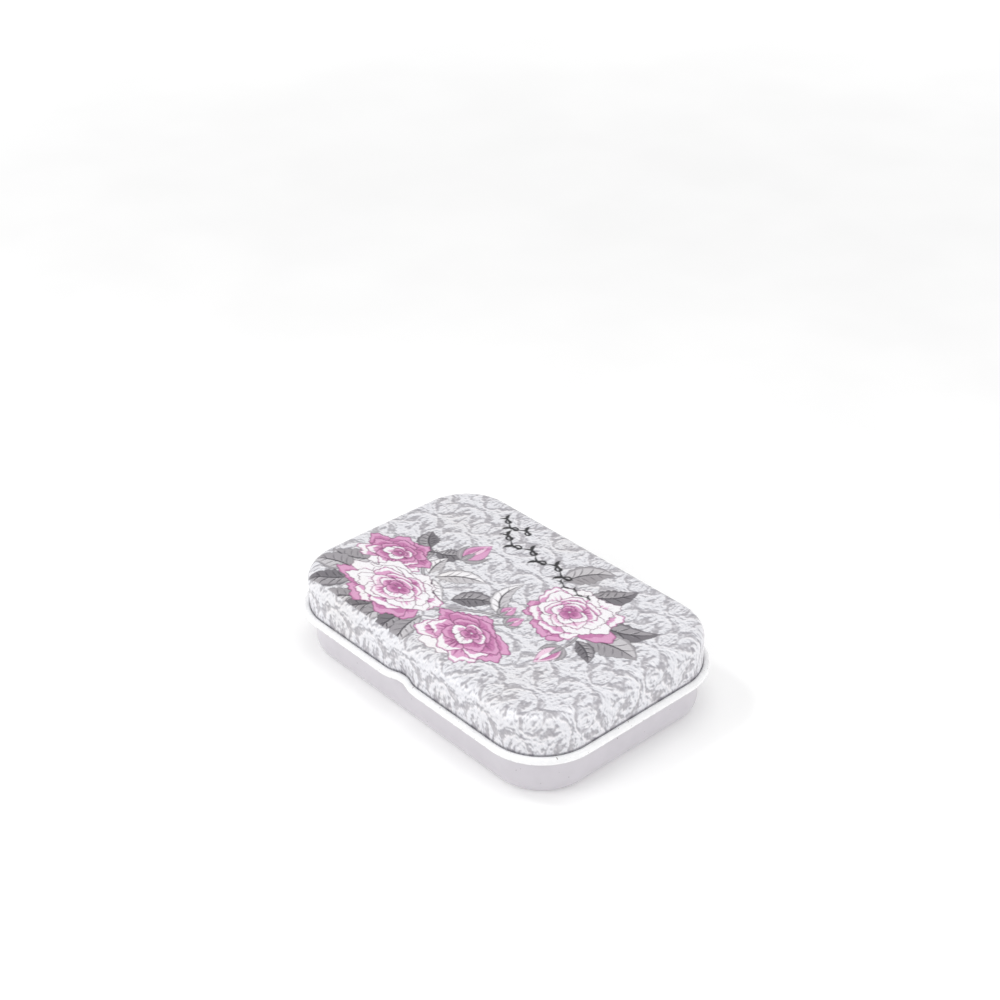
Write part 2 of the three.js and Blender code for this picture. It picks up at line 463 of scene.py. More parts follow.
def paint_bud(base, tip, width, inks=("rose", "pink", "blush")):
    """A closed bud: three wrapped petals held by pointed sepals."""
    deep, mid, pale = inks
    along = tip - base
    side = along * 1j / abs(along)
    paint(blade(base, tip, 0, width, grow=0.16, fullness=0.75), "rose_line")
    paint(blade(base, tip, 0, width, fullness=0.75), mid)
    paint(blade(base, tip - along * 0.06 - side * width * 0.16, 0.12, width * 0.5, fullness=0.8), deep)
    pale_base = base + along * 0.15 + side * width * 0.12
    paint(blade(pale_base, tip - along * 0.1 + side * width * 0.1, -0.1, width * 0.26), pale)
    stroke(curve_points(base + along * 0.2, tip - along * 0.12, 0.1, 6), 0.18, "rose_line", 0.2)
    for sign in (1, -1):
        sepal_tip = base + along * 0.55 + side * width * 0.62 * sign
        paint_sepal(base - along * 0.08, sepal_tip, width * 0.26, 0.22 * sign)
    paint_sepal(base - along * 0.1, base + along * 0.42, width * 0.3, 0.0)


def paint_sepal(base, tip, width, bend):
    paint(blade(base, tip, bend, width, grow=0.13), "leaf_line")
    paint(blade(base, tip, bend, width), "leaf")
    stroke(curve_points(base, tip, bend, 5)[:5], 0.14, "leaf_light", 0.2)


# ---- the bouquet ----

STEMS = [
    (complex(-25, 1.5), complex(-17, -9), -0.15, 0.6),
    (complex(-7.5, -17), complex(10, -5), 0.08, 0.7),
    (complex(6.5, -4.5), complex(4.0, -9.5), 0.1, 0.4),
    (complex(10.5, -6.5), complex(8.0, -9.5), 0.1, 0.4),
    (complex(16, 13), complex(24.5, 10), -0.1, 0.5),
    (complex(24, 3), complex(25.5, -5.5), 0.12, 0.4),
]

LEAVES = [
    (complex(-27.0, 1.0), complex(-32.4, 6.2), 5.6, 0.12, "leaf_dark"),
    (complex(-24.4, 0.6), complex(-18.8, 5.6), 5.6, -0.14, "leaf_dark"),
    (complex(-24.5, 0.4), complex(-30.4, -1.2), 3.6, 0.1, "leaf_dark"),
    (complex(-33.0, -12.6), complex(-43.4, -16.8), 7.4, 0.12, "leaf"),
    (complex(-33.2, -18.6), complex(-44.0, -23.2), 7.0, -0.1, "leaf"),
    (complex(-30.2, -20.6), complex(-39.4, -28.6), 6.8, 0.1, "leaf_dark"),
    (complex(-22.0, -24.0), complex(-32.4, -29.8), 5.4, 0.12, "leaf"),
    (complex(-17.0, -22.5), complex(-24.4, -30.4), 6.4, 0.1, "leaf_dark"),
    (complex(-12.4, -20.6), complex(-15.4, -30.6), 6.8, -0.1, "leaf"),
    (complex(-9.4, -19.6), complex(-8.4, -30.6), 6.6, -0.1, "leaf_dark"),
    (complex(-6.0, -19.4), complex(-1.6, -30.6), 5.8, -0.12, "leaf"),
    (complex(-18.6, -6.6), complex(-20.4, 1.0), 4.2, 0.1, "leaf_light"),
    (complex(-16.2, -6.6), complex(-5.6, 0.4), 5.4, 0.12, "leaf_light"),
    (complex(-16.0, -7.6), complex(-7.0, -12.0), 4.8, -0.12, "leaf_light"),
    (complex(-6.2, -10.2), complex(2.2, -3.4), 6.2, 0.1, "leaf_dark"),
    (complex(7.6, -5.6), complex(1.0, 7.0), 4.6, 0.24, "leaf_light"),
    (complex(6.6, 14.4), complex(13.4, 25.4), 7.6, 0.14, "leaf"),
    (complex(14.6, 14.2), complex(22.0, 24.4), 6.6, -0.14, "leaf_dark"),
    (complex(20.6, 9.6), complex(37.4, 15.8), 7.4, -0.2, "leaf_dark"),
    (complex(27.0, 2.0), complex(40.6, 4.8), 8.4, 0.1, "leaf"),
    (complex(26.0, 0.0), complex(34.0, -4.0), 4.0, 0.1, "leaf_dark"),
]

SCROLLS = [
    (complex(-25.6, 22.6), complex(-14.2, 22.2), 3, 1.45),
    (complex(-20.2, 17.6), complex(7.6, 16.6), 6, 1.6),
    (complex(5.0, 13.6), complex(16.6, 13.6), 5, 0.7),
]


def paint_scroll(start, end, curls, size):
    """A pen-drawn vine: a waving line with a curl and a small leaf at each bend, and no letters."""
    along = (end - start) / abs(end - start)
    steps = curls * 8
    waves = [math.sin(math.pi * i * curls / steps) for i in range(steps + 1)]
    path = [start + (end - start) * i / steps + along * 1j * size * 0.7 * wave
            for i, wave in enumerate(waves)]
    pen = [0.13 + 0.15 * size * abs(wave) for wave in waves]
    paint(ribbon(path, pen), "black")
    for k in range(curls):
        root = path[k * 8 + 4]
        side = 1 if k % 2 == 0 else -1
        turn = along * 1j * side
        eye = root + along * size * 0.75 - turn * size * 0.25
        curl = [eye + (root - eye) * (1 - 0.085 * i) * cmath.rect(1, side * 0.66 * i) for i in range(10)]
        paint(ribbon(curl, [0.2 * size - 0.01 * i for i in range(10)]), "black")
        paint(circle(curl[-1], 0.2 * size, 8), "black")
        leaf_tip = root + turn * 1.5 * size - along * 0.9 * size
        paint(blade(root, leaf_tip, 0.2 * side, 0.7 * size, steps=8), "black")


def paint_bouquet():
    for start, end, bend, width in STEMS:
        paint_stem(start, end, bend, width)
    for base, tip, width, bend, tone in LEAVES:
        paint_leaf(base, tip, width, bend, tone)
    paint_bud(complex(-17.6, 3.6), complex(-17.0, 12.4), 6.0)
    paint_bud(complex(6.4, -5.4), complex(6.8, -1.0), 3.4)
    paint_bud(complex(10.2, -7.2), complex(11.4, -2.8), 3.4)
    paint_bud(complex(25.6, -4.6), complex(25.2, -12.6), 4.4, ("rose", "blush", "white"))
    paint_deep_rose(complex(-31.6, -6.8), complex(10.2, 6.6), 14, complex(1.2, 0.8), 5)
    paint_deep_rose(complex(7.0, -17.6), complex(12.4, 8.6), -6, complex(0.4, 2.2), 11)
    paint_light_rose(complex(-20.2, -17.2), complex(15.2, 9.4), 4, complex(1.6, 1.4), 3)
    paint_light_rose(complex(18.4, 6.0), complex(12.2, 10.6), 10, complex(-1.8, 0.8), 7)
    for start, end, curls, size in SCROLLS:
        paint_scroll(start, end, curls, size)


def clip_to_front(points, limit):
    """The part of a closed shape that lies behind the line y = limit."""
    kept = []
    for i, here in enumerate(points):
        before = points[i - 1]
        if (here.imag >= limit) != (before.imag >= limit):
            t = (limit - before.imag) / (here.imag - before.imag)
            kept.append(before + (here - before) * t)
        if here.imag >= limit:
            kept.append(here)
    return kept


# ---- the blank, and how the drawing die wraps it over the lid ----

FLAT_HALF = complex(HALF_LENGTH - SHOULDER_RADIUS, HALF_WIDTH - SHOULDER_RADIUS)
FLAT_CORNER = CORNER_RADIUS - SHOULDER_RADIUS
SHOULDER_RUN = SHOULDER_RADIUS * math.pi / 2
PRINT_STRETCH = 1.25
BLANK_EDGE = (SHOULDER_RUN + SHOULDER_BOTTOM - BEAD_HEIGHT) / PRINT_STRETCH
BOUQUET_FRONT = -FLAT_HALF.imag - 1.39 / PRINT_STRETCH


def beyond_flat(p):
    """How far p lies outside the flat top, and which way is straight out from it."""
    qx = abs(p.real) - (FLAT_HALF.real - FLAT_CORNER)
    qy = abs(p.imag) - (FLAT_HALF.imag - FLAT_CORNER)
    if qx > 0 and qy > 0:
        out = complex(qx, qy) / math.hypot(qx, qy)
        distance = math.hypot(qx, qy) - FLAT_CORNER
    else:
        out = 1 + 0j if qx > qy else 1j
        distance = max(qx, qy) - FLAT_CORNER
    return distance, complex(math.copysign(out.real, p.real), math.copysign(out.imag, p.imag))


def on_lid(p, inset):
    """Where p on the blank comes to on the lid, inset from its outer face, and the outward normal there."""
    distance, out = beyond_flat(p)
    radius = SHOULDER_RADIUS - inset
    if distance <= 0:
        return (p.real, p.imag, SHOULDER_BOTTOM + radius), (0.0, 0.0, 1.0)
    foot = p - out * distance
    run = distance * PRINT_STRETCH
    angle = min(run, SHOULDER_RUN) / SHOULDER_RADIUS
    place = foot + out * radius * math.sin(angle)
    z = SHOULDER_BOTTOM + radius * math.cos(angle) - max(0.0, run - SHOULDER_RUN)
    nx, ny, nz = out.real * math.sin(angle), out.imag * math.sin(angle), math.cos(angle)
    y = dented(place.real, place.imag, ny, z, lid_dent_share)
    if y != place.imag:
        step = 0.05
        across = (dent_at(place.real + step) - dent_at(place.real - step)) / (2 * step) * lid_dent_share(z)
        down = dent_at(place.real) * (lid_dent_share(z + step) - lid_dent_share(z - step)) / (2 * step)
        normal = Vector((nx + across, ny, nz + down)).normalized()
        nx, ny, nz = normal
    return (place.real, y, z), (nx, ny, nz)


# ---- the print as colours on the blank ----

CELL = 0.22
INK_CELL = 0.1
BLANK_HALF = FLAT_HALF + complex(BLANK_EDGE + 0.3, BLANK_EDGE + 0.3)


def filled(points, width, height):
    """The ink cells inside a closed shape: their window on the blank's grid and a mask of it."""
    xs = numpy.array([(p.real + BLANK_HALF.real) / INK_CELL for p in points])
    ys = numpy.array([(p.imag + BLANK_HALF.imag) / INK_CELL for p in points])
    left, right = max(0, int(xs.min())), min(width, int(xs.max()) + 2)
    low, high = max(0, int(ys.min())), min(height, int(ys.max()) + 2)
    if left >= right or low >= high:
        return None
    column = numpy.arange(left, right) + 0.5
    row = numpy.arange(low, high) + 0.5
    inside = numpy.zeros((high - low, right - left), bool)
    for i in range(len(points)):
        x0, y0, x1, y1 = xs[i - 1], ys[i - 1], xs[i], ys[i]
        crossed = (row > min(y0, y1)) & (row <= max(y0, y1))
        if crossed.any():
            meet = x0 + (row[crossed] - y0) * (x1 - x0) / (y1 - y0)
            inside[crossed] ^= column[None, :] > meet[:, None]
    return slice(low, high), slice(left, right), inside


def random_field(shape, cell, seed):
    """Smooth random heights from 0 to 1 over the ink cells, with bumps cell millimetres apart."""
    spots = numpy.random.RandomState(seed).rand(*(int(n * INK_CELL / cell) + 3 for n in shape))
    for axis in (0, 1):
        place = numpy.arange(shape[axis]) * INK_CELL / cell
        first = place.astype(int)
        t = place - first
        t = t * t * (3 - 2 * t)
        t = t[:, None] if axis == 0 else t[None, :]
        low, high = numpy.take(spots, first, axis), numpy.take(spots, first + 1, axis)
        spots = low * (1 - t) + high * t
    return spots


def softened(values, middle=2):
    for axis in (0, 1):
        beside = numpy.roll(values, 1, axis) + numpy.roll(values, -1, axis)
        values = (beside + middle * values) / (middle + 2)
    return values


def stamp(target, shapes, value_of):
    """Fills each (points, ink) of shapes into target, in order."""
    height, width = target.shape[:2]
    for points, ink in shapes:
        window = filled(points, width, height) if len(points) > 2 else None
        if window:
            rows, columns, inside = window
            target[rows, columns][inside] = value_of(ink)


def lace_colours(shape):
    """The damask, frayed into fine lace, and inked as if raised, with a pale edge and a dark one."""
    pattern = numpy.zeros(shape)
    for scale, weight in ((1.0, 0.72), (0.4, 0.28)):
        artwork.clear()
        paint_damask(BLANK_HALF, scale)
        layer = numpy.zeros(shape)
        stamp(layer, artwork, lambda ink: 1.0 if ink == "lace" else 0.1)
        pattern += weight * layer

    def wandered(step, first_seed):
        drift = step * (random_field(shape, 1.1, first_seed) - 0.5)
        return drift + 0.7 * step * (random_field(shape, 0.45, first_seed + 1) - 0.5)

    rows, columns = numpy.indices(shape)
    rows = numpy.clip(numpy.rint(rows + wandered(5.0, 21)).astype(int), 0, shape[0] - 1)
    columns = numpy.clip(numpy.rint(columns + wandered(5.0, 23)).astype(int), 0, shape[1] - 1)
    frayed = softened(pattern[rows, columns])
    threads = 0.6 * random_field(shape, 0.4, 25) + 0.4 * random_field(shape, 0.8, 26) - 0.5
    level = 0.72 * frayed + 0.45 * threads + 0.17
    t = numpy.clip((level - 0.3) / 0.26, 0, 1)
    share = (t * t * (3 - 2 * t))[:, :, None]
    ground, lace, line, white = (numpy.array(INKS[name][:3])
                                 for name in ("ground", "lace", "lace_line", "white"))
    colours = ground + (lace - ground) * share
    raised = frayed + 0.8 * threads + 0.5 * random_field(shape, 0.9, 31)
    slope = softened(raised - numpy.roll(raised, (3, -2), (0, 1)))[:, :, None]
    colours = colours + (line - colours) * numpy.clip(slope * 2.1 - 0.14, 0, 0.8)
    return colours + (white - colours) * numpy.clip(-slope * 2.1 - 0.14, 0, 0.9)


def ink_blank():
    """The blank's colours, one for each ink cell, bled a little into the next as ink on a sheet is."""
    shape = tuple(int(2 * half / INK_CELL) for half in (BLANK_HALF.imag, BLANK_HALF.real))
    colours = lace_colours(shape)
    artwork.clear()
    paint_bouquet()
    clipped = [(clip_to_front(points, BOUQUET_FRONT), ink) for points, ink in artwork]
    stamp(colours, clipped, lambda ink: INKS[ink][:3])
    return softened(colours, middle=5)


def colours_at(blank_points, colours):
    """Colours between the ink cells, for a list of points on the blank."""
    height, width = colours.shape[:2]
    places = numpy.array(blank_points)
    x = numpy.clip((places.real + BLANK_HALF.real) / INK_CELL - 0.5, 0, width - 1.001)
    y = numpy.clip((places.imag + BLANK_HALF.imag) / INK_CELL - 0.5, 0, height - 1.001)
    column, row = x.astype(int), y.astype(int)
    tx, ty = (x - column)[:, None], (y - row)[:, None]
    low = colours[row, column] * (1 - tx) + colours[row, column + 1] * tx
    high = colours[row + 1, column] * (1 - tx) + colours[row + 1, column + 1] * tx
    return low * (1 - ty) + high * ty


# ---- the lid's sheet ----

def skirt_stations():
    """Points round the flat top's outline and their outward directions, one at each side of each slot."""
    cx, cy = FLAT_HALF.real - FLAT_CORNER, FLAT_HALF.imag - FLAT_CORNER
    corner_steps = round((CORNER_RADIUS * math.pi / 2) / CELL)
    slot_sides = sorted((side * LUG_SPACING / 2 + edge * (LUG_WIDTH / 2 + SLOT_SIDE)
                         for side in (-1, 1) for edge in (-1, 1)), reverse=True)
    stations = []

    def straight(marks, out):
        for start, end in zip(marks, marks[1:]):
            count = max(1, round(abs(end - start) / CELL))
            stations.extend((start + (end - start) * i / count, out) for i in range(count))

    def corner(centre, first):
        for i in range(corner_steps):
            out = cmath.rect(1, math.radians(first + 90 * i / corner_steps))
            stations.append((centre + out * FLAT_CORNER, out))

    straight([complex(-cx, -FLAT_HALF.imag), complex(cx, -FLAT_HALF.imag)], -1j)
    corner(complex(cx, -cy), -90)
    straight([complex(FLAT_HALF.real, -cy), complex(FLAT_HALF.real, cy)], 1 + 0j)
    corner(complex(cx, cy), 0)
    straight([complex(x, FLAT_HALF.imag) for x in [cx] + slot_sides + [-cx]], 1j)
    corner(complex(-cx, cy), 90)
    straight([complex(-FLAT_HALF.real, cy), complex(-FLAT_HALF.real, -cy)], -1 + 0j)
    corner(complex(-cx, -cy), 180)
    return stations


def run_rows(marks, step):
    """Distances along the sheet from the flat top's edge, through every mark, no further apart than step."""
    rows = []
    for start, end in zip(marks, marks[1:]):
        count = max(1, round(abs(end - start) / step))
        rows += [lerp(start, end, i / count) for i in range(count)]
    return rows + [marks[-1]]


def top_patch(outline):
    """The flat top inside its outline: points of a square grid, and faces over the outline and the grid."""
    columns, rows = (int((half - 0.3) / CELL) for half in (FLAT_HALF.real, FLAT_HALF.imag))
    index, grid = {}, []
    for j in range(-rows, rows + 1):
        for i in range(-columns, columns + 1):
            p = complex(i * CELL, j * CELL)
            if beyond_flat(p)[0] < -0.12:
                index[i, j] = len(outline) + len(grid)
                grid.append(p)
    faces = []
    for i, j in list(index):
        corners = [(i, j), (i + 1, j), (i + 1, j + 1), (i, j + 1)]
        if all(corner in index for corner in corners):
            faces.append(tuple(index[corner] for corner in corners))
    sides = set()
    for face in faces:
        for a, b in zip(face, face[1:] + face[:1]):
            if (b, a) in sides:
                sides.remove((b, a))
            else:
                sides.add((a, b))
    follow = dict(sides)
    start = min(follow)
    rim, here = [start], follow[start]
    while here != start:
        rim.append(here)
        here = follow[here]
    points = outline + grid
    ids = list(range(len(outline))) + rim
    flat = [Vector((points[i].real, points[i].imag)) for i in ids]
    loops = [list(range(len(outline))), list(range(len(outline), len(ids)))]
    _, _, triangles, origins, _, sources = delaunay_2d_cdt(flat, [], loops, 1, 1e-5, True)
    for triangle, source in zip(triangles, sources):
        if source == [0]:
            a, b, c = (ids[origins[i][0]] for i in triangle)
            turn = ((points[b] - points[a]).conjugate() * (points[c] - points[a])).imag
            faces.append((a, b, c) if turn > 0 else (a, c, b))
    return grid, faces


def make_lid_shell(material, inside_material):
    stations = skirt_stations()
    around = len(stations)
    end = SHOULDER_RUN + SHOULDER_BOTTOM - BEAD_HEIGHT
    slot_runs = [end - SLOT_TOP, end - SLOT_BOTTOM]
    outer_rows = run_rows([0.0, SHOULDER_RUN, *slot_runs, end], CELL)
    low_rows = [run for run in outer_rows if run >= slot_runs[0] - 1e-6]
    inner_rows = run_rows([0.0, SHOULDER_RUN, slot_runs[0]], 0.8)[:-1] + low_rows
    places, facing, blank = [], [], []

    def add(p, inset, flip=False):
        place, normal = on_lid(p, inset)
        places.append(place)
        facing.append(tuple(-c for c in normal) if flip else normal)
        blank.append(p)

    for run in outer_rows:
        for foot, out in stations:
            add(foot + out * run / PRINT_STRETCH, 0.0)
    grid, top_faces = top_patch([foot for foot, _ in stations])
    grid_first = len(places) - around
    for p in grid:
        add(p, 0.0)
    inner_first = len(places)
    for run in inner_rows:
        for foot, out in stations:
            add(foot + out * run / PRINT_STRETCH, SHEET, flip=True)

    in_slot = []
    for i, (foot, out) in enumerate(stations):
        middle = (foot + stations[(i + 1) % around][0]) / 2
        from_lug = abs(abs(middle.real) - LUG_SPACING / 2)
        in_slot.append(out == 1j and from_lug < LUG_WIDTH / 2 + SLOT_SIDE - 0.01)

    def open_here(run, next_run, i):
        return in_slot[i] and run > slot_runs[0] - 1e-6 and next_run < slot_runs[1] + 1e-6

    faces = []
    for row in range(len(outer_rows) - 1):
        for i in range(around):
            j = (i + 1) % around
            if not open_here(outer_rows[row], outer_rows[row + 1], i):
                above, below = row * around, (row + 1) * around
                faces.append((above + i, below + i, below + j, above + j))
    faces += [tuple(v if v < around else v + grid_first for v in face) for face in top_faces]
    outer_count = len(faces)
    for row in range(len(inner_rows) - 1):
        a, b = inner_first + row * around, inner_first + (row + 1) * around
        for i in range(around):
            j = (i + 1) % around
            if not open_here(inner_rows[row], inner_rows[row + 1], i):
                faces.append((a + i, a + j, b + j, b + i))
    faces.append(tuple(inner_first + i for i in range(around - 1, -1, -1)))
    skin_count = len(faces)
    first_low = len(outer_rows) - len(low_rows)
    inner_low = len(inner_rows) - len(low_rows)

    def outer_at(row, i):
        return (first_low + row) * around + i % around

    def inner_at(row, i):
        return inner_first + (inner_low + row) * around + i % around

    last = len(low_rows) - 1
    for i in range(around):
        faces.append((outer_at(last, i), inner_at(last, i), inner_at(last, i + 1), outer_at(last, i + 1)))
    slot_last = min(range(len(low_rows)), key=lambda k: abs(low_rows[k] - slot_runs[1]))
    for i in range(around):
        if in_slot[i]:
            faces.append((outer_at(0, i), inner_at(0, i), inner_at(0, i + 1), outer_at(0, i + 1)))
            faces.append((outer_at(slot_last, i + 1), inner_at(slot_last, i + 1), inner_at(slot_last, i),
                          outer_at(slot_last, i)))
        if in_slot[i] != in_slot[i - 1]:
            for row in range(slot_last):
                corners = [outer_at(row, i), outer_at(row + 1, i), inner_at(row + 1, i), inner_at(row, i)]
                faces.append(tuple(corners if in_slot[i] else corners[::-1]))

    used = sorted({v for face in faces for v in face})
    renumbered = {v: k for k, v in enumerate(used)}
    faces = [tuple(renumbered[v] for v in face) for face in faces]
    places, facing, blank = ([values[v] for v in used] for values in (places, facing, blank))

    shell = new_piece("lid_shell", places, faces, [material, inside_material],
                      [0] * outer_count + [1] * (len(faces) - outer_count))
    mesh = shell.data
    loop_normals = []
    for polygon in mesh.polygons:
        if polygon.index < skin_count:
            loop_normals += [facing[v] for v in polygon.vertices]
        else:
            loop_normals += [tuple(polygon.normal)] * len(polygon.vertices)
    mesh.normals_split_custom_set(loop_normals)
    colours = colours_at(blank, ink_blank())
    layer = mesh.color_attributes.new("print", "FLOAT_COLOR", "POINT")
    layer.data.foreach_set("color", numpy.hstack([colours, numpy.ones((len(colours), 1))]).ravel())
    return shell


# ---- the other pieces ----

def make_lid_bead(material):
    curl_end = 360 + math.degrees(math.acos((CREASE_GAP - BEAD_OFFSET) / BEAD_RADIUS))
    outer = arc(BEAD_OFFSET, BEAD_HEIGHT, BEAD_RADIUS, 180, curl_end, 40)
    inner = arc(BEAD_OFFSET, BEAD_HEIGHT, BEAD_OFFSET, curl_end, 180, 24)
    section = outer + inner
    return sweep_section("lid_bead", section, lid_dent_share, [material], True, [0] * len(section))


def make_tray(outside_material, inside_material):
    edge_outside = arc(-TRAY_EDGE_RADIUS, TRAY_EDGE_RADIUS, TRAY_EDGE_RADIUS, -90, 0, 14)
    edge_inside = arc(-TRAY_EDGE_RADIUS, TRAY_EDGE_RADIUS, TRAY_EDGE_RADIUS - SHEET, 0, -90, 12)
    rim_offset = RIM_RADIUS - SHEET
    rim_height = RIM_TOP - RIM_RADIUS
    curl_end = -math.degrees(math.acos((RIM_GAP - rim_offset) / RIM_RADIUS))
    heights = [6.5, 7.4, 8.3, 9.2, 10.1, 11.0]
    section = edge_outside + [(0, z) for z in heights]
    section += arc(rim_offset, rim_height, rim_offset, 180, curl_end, 16)
    outside_rows = len(section)
    section += arc(rim_offset, rim_height, RIM_RADIUS, curl_end, 180, 24)
    section += [(-SHEET, z) for z in heights[::-1]] + edge_inside
    section = [(offset - TRAY_INSET, z) for offset, z in section]
    sides = [0] * outside_rows + [1] * (len(section) - outside_rows)
    materials = [outside_material, inside_material]
    return sweep_section("tray_shell", section, tray_dent_share, materials, False, sides)


def make_lug(name, material):
    """A strip that comes down the tray's wall, out through its slot and round the lid's bead."""
    low, high = lug_boxes[name]
    wall_side = low.y
    axis_y, axis_z = HINGE_Y, BEAD_HEIGHT
    outer = LUG_INNER + SHEET
    free_side = wall_side + SHEET
    bend_y, bend_z = free_side + LUG_BEND, axis_z + outer + LUG_BEND
    outline = [(free_side, high.z)]
    outline += arc(bend_y, bend_z, LUG_BEND, 180, 270, 8)
    outline += arc(axis_y, axis_z, outer, 90, 90 - LUG_WRAP, 40)
    outline += arc(axis_y, axis_z, LUG_INNER, 90 - LUG_WRAP, 90, 40)
    outline += arc(bend_y, bend_z, LUG_BEND + SHEET, 270, 180, 8)
    outline += [(wall_side, high.z)]
    count = len(outline)
    bevel, thinning = 0.06, 0.2
    xs = [low.x, low.x + bevel, high.x - bevel, high.x]
    verts, faces = [], []
    thickness_pairs = count // 2
    for k, x in enumerate(xs):
        for i, (y, z) in enumerate(outline):
            if k in (0, 3):
                other_y, other_z = outline[count - 1 - i]
                y, z = lerp(y, other_y, thinning), lerp(z, other_z, thinning)
            verts.append((x, y, z))
    for k in range(3):
        for i in range(count):
            j = (i + 1) % count
            faces.append((k * count + i, (k + 1) * count + i, (k + 1) * count + j, k * count + j))
    for k, first in ((0, 0), (1, 3 * count)):
        for i in range(thickness_pairs - 1):
            quad = (first + i, first + i + 1, first + count - 2 - i, first + count - 1 - i)
            faces.append(quad[::-1] if k else quad)
    lug = new_piece(name + "_strip", verts, faces, [material])
    corners = (0, count - 1, thickness_pairs - 1, thickness_pairs)
    for edge in lug.data.edges:
        a, b = edge.vertices
        edge.use_edge_sharp = a % count in corners and a % count == b % count
    return lug


# ---- materials ----

def node_tree(name):
    material = bpy.data.materials.new(name)
    material.use_nodes = True
    nodes, links = material.node_tree.nodes, material.node_tree.links
    return material, nodes, links, nodes["Principled BSDF"]


def noise(nodes, links, scale, detail=3.0, stretch=(1, 1, 1)):
    """Noise in millimetres of the piece: scale is in cells per millimetre."""
    place = nodes.new("ShaderNodeTexCoord")
    mapping = nodes.new("ShaderNodeMapping")
    mapping.inputs["Scale"].default_value = [scale / MM * s for s in stretch]
    texture = nodes.new("ShaderNodeTexNoise")
    texture.inputs["Scale"].default_value = 1.0
    texture.inputs["Detail"].default_value = detail
    links.new(place.outputs["Object"], mapping.inputs["Vector"])
    links.new(mapping.outputs["Vector"], texture.inputs["Vector"])
    return texture.outputs["Fac"]


def ranged(nodes, links, value, low, high, to_low, to_high):
    node = nodes.new("ShaderNodeMapRange")
    node.interpolation_type = "SMOOTHSTEP"
    for name, number in (("From Min", low), ("From Max", high), ("To Min", to_low), ("To Max", to_high)):
        node.inputs[name].default_value = number
    links.new(value, node.inputs["Value"])
    return node.outputs["Result"]


def mixed(nodes, links, factor, a, b, mode="MIX"):
    node = nodes.new("ShaderNodeMix")
    node.data_type = "RGBA"
    node.blend_type = mode
    for socket, value in ((node.inputs[0], factor), (node.inputs[6], a), (node.inputs[7], b)):
        if isinstance(value, (int, float, tuple)):
            socket.default_value = value
        else:
            links.new(value, socket)
    return node.outputs[2]


def bumped(nodes, links, shader, height, strength, distance):
    bump = nodes.new("ShaderNodeBump")
    bump.inputs["Strength"].default_value = strength
    bump.inputs["Distance"].default_value = distance * MM
    links.new(height, bump.inputs["Height"])
    links.new(bump.outputs["Normal"], shader.inputs["Normal"])


def height_above_floor(nodes, links):
    place = nodes.new("ShaderNodeTexCoord")
    split = nodes.new("ShaderNodeSeparateXYZ")
    links.new(place.outputs["Object"], split.inputs["Vector"])
    return split.outputs["Z"]


def lacquer(name, colour, worn_colour, roughness, speck_share):
    """Stoved lacquer on tinplate: faint mottling, a slight orange peel, and specks where it has chipped."""
    material, nodes, links, shader = node_tree(name)
    mottled = mixed(nodes, links, ranged(nodes, links, noise(nodes, links, 0.22), 0.35, 0.65, 0.0, 1.0),
                    colour, tuple(c * 0.965 for c in colour[:3]) + (1.0,))
    cloudy = mixed(nodes, links, ranged(nodes, links, noise(nodes, links, 0.05, 2.0), 0.4, 0.7, 0.0, 0.35),
                   mottled, tuple(c * 0.95 for c in colour[:3]) + (1.0,))
    specks = ranged(nodes, links, noise(nodes, links, 1.3, 1.0), speck_share, speck_share + 0.03, 0.0, 0.75)
    links.new(mixed(nodes, links, specks, cloudy, worn_colour), shader.inputs["Base Color"])
    links.new(ranged(nodes, links, noise(nodes, links, 0.6), 0.3, 0.7, roughness - 0.05, roughness + 0.07),
              shader.inputs["Roughness"])
    shader.inputs["Coat Weight"].default_value = 0.3
    shader.inputs["Coat Roughness"].default_value = 0.12
    bumped(nodes, links, shader, noise(nodes, links, 1.6, 2.0), 0.06, 0.008)
    return material


def printed_tinplate():
    """Litho print under varnish. The inks are the sheet's own colours, and painted shade darkens the sheet
    just above the crease.
    """
    material, nodes, links, shader = node_tree("printed_tinplate")
    inks = nodes.new("ShaderNodeAttribute")
    inks.attribute_name = "print"
    grain = ranged(nodes, links, noise(nodes, links, 5.0, 2.0), 0.3, 0.7, 0.93, 1.05)
    grained = nodes.new("ShaderNodeVectorMath")
    grained.operation = "SCALE"
    links.new(inks.outputs["Color"], grained.inputs[0])
    links.new(grain, grained.inputs["Scale"])
    age = ranged(nodes, links, noise(nodes, links, 0.06, 3.0), 0.45, 0.75, 0.0, 0.5)
    yellowed = mixed(nodes, links, age, grained.outputs["Vector"], (0.96, 0.94, 0.90, 1.0), "MULTIPLY")
    chips = ranged(nodes, links, noise(nodes, links, 1.1, 1.0), 0.80, 0.82, 0.0, 0.7)
    chipped = mixed(nodes, links, chips, yellowed, srgb(120, 112, 112))
    # Painted shade: the print is darkened towards blue grey in a narrow band just above the bead, where the
    # crease lies in shadow.
    z = height_above_floor(nodes, links)
    crease_top = (BEAD_HEIGHT + BEAD_RADIUS) * MM
    crease_shade = ranged(nodes, links, z, crease_top + 0.1 * MM, crease_top + 0.5 * MM, 0.5, 0.0)
    links.new(mixed(nodes, links, crease_shade, chipped, srgb(62, 60, 78)), shader.inputs["Base Color"])
    sheen = ranged(nodes, links, noise(nodes, links, 0.5, 4.0), 0.3, 0.7, 0.30, 0.42)
    links.new(sheen, shader.inputs["Roughness"])
    shader.inputs["Coat Weight"].default_value = 0.35
    shader.inputs["Coat Roughness"].default_value = 0.1
    bumped(nodes, links, shader, noise(nodes, links, 1.4, 2.0), 0.1, 0.02)
    return material


